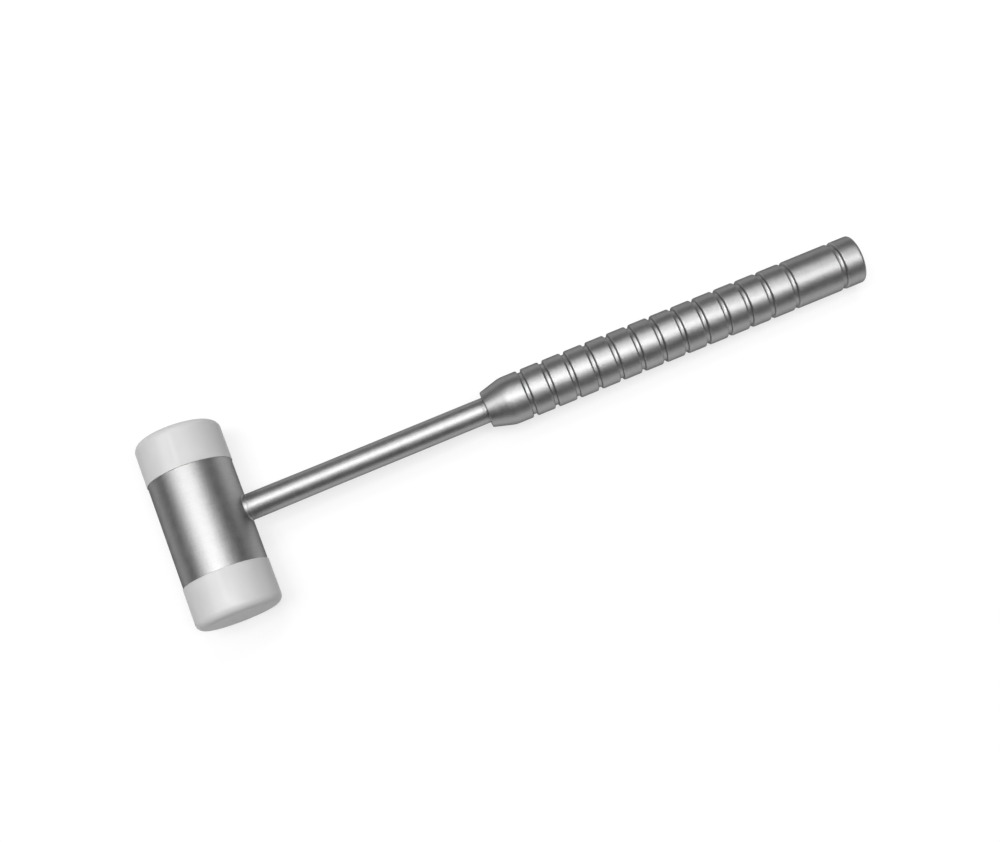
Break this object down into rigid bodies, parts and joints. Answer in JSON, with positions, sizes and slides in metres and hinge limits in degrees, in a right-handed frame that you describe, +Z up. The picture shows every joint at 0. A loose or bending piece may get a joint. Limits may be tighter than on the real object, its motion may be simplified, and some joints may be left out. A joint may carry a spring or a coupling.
{
  "type": "surgical mallet",
  "caption": "Surgical bone mallet: steel barrel head with white nylon striking faces, thin steel neck and ring-grooved hollow steel grip.",
  "frame": {"origin": "on the surface that the mallet lies on, under the middle of its bounding box", "axes": "+X from the head towards the handle's end, Y along the head between its two striking faces, +Z up from the surface"},
  "size_m": [0.2176, 0.0572, 0.0254],
  "materials": {
    "satin_steel": "satin blasted stainless steel",
    "braze_metal": "satin filler metal",
    "white_nylon": "milky turned nylon, soft sheen"
  },
  "bodies": {
    "root": {"head_barrel": "satin_steel", "upper_striking_face": "white_nylon", "lower_striking_face": "white_nylon", "neck_rod": "satin_steel", "neck_braze": "braze_metal", "grip_tube": "satin_steel", "end_cap": "satin_steel"}
  },
  "joints": []
}
